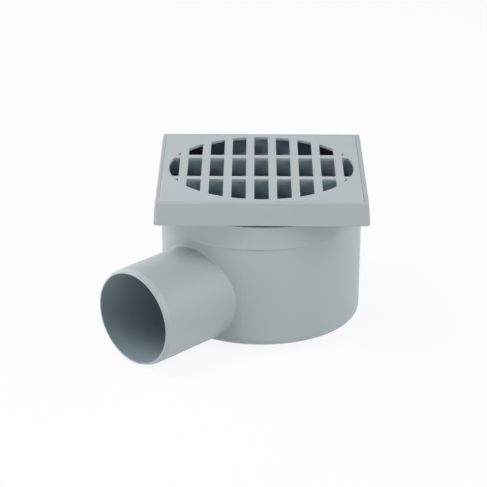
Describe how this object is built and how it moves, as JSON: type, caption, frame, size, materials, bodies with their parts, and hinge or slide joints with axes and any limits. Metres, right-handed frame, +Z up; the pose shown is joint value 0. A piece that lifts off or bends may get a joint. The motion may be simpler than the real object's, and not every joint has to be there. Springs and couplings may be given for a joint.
{
  "type": "floor drain",
  "caption": "Floor drain: square slotted grating in a turning, height-adjustable frame over a round pot with a removable bell trap and a falling side outlet spigot.",
  "frame": {"origin": "centre of the foot ring under the pot, on the plane that the drain stands on, on the pot's axis", "axes": "+Z up along the pot's axis to the grating; X and Y along the sides of the square frame; the outlet points to -X and -Y, 43.5 degrees from -Y, and falls by 2 in 100"},
  "size_m": [0.1344, 0.1369, 0.0813],
  "materials": {
    "pot_plastic": "fine satin light blue-grey moulded PVC",
    "frame_plastic": "fine satin light blue-grey moulded PVC",
    "grate_plastic": "fine satin light blue-grey moulded PVC",
    "trap_plastic": "satin dark grey moulded polypropylene",
    "seal_rubber": "matt black EPDM rubber"
  },
  "bodies": {
    "pot_body": {"pot": "pot_plastic"},
    "ring_body": {"seal_ring": "seal_rubber"},
    "frame_body": {"frame": "frame_plastic", "cup_gasket": "seal_rubber", "trap_cup": "trap_plastic", "trap_bell": "trap_plastic", "grate": "grate_plastic"}
  },
  "joints": [
    {"name": "frame_lift", "type": "slide", "parent": "pot_body", "child": "ring_body", "axis": [0, 0, 1], "range_m": [-0.0012, 0.006]},
    {"name": "frame_turn", "type": "hinge", "parent": "ring_body", "child": "frame_body", "pos_m": [0, 0, 0.0586], "axis": [0, 0, 1], "continuous": true}
  ]
}
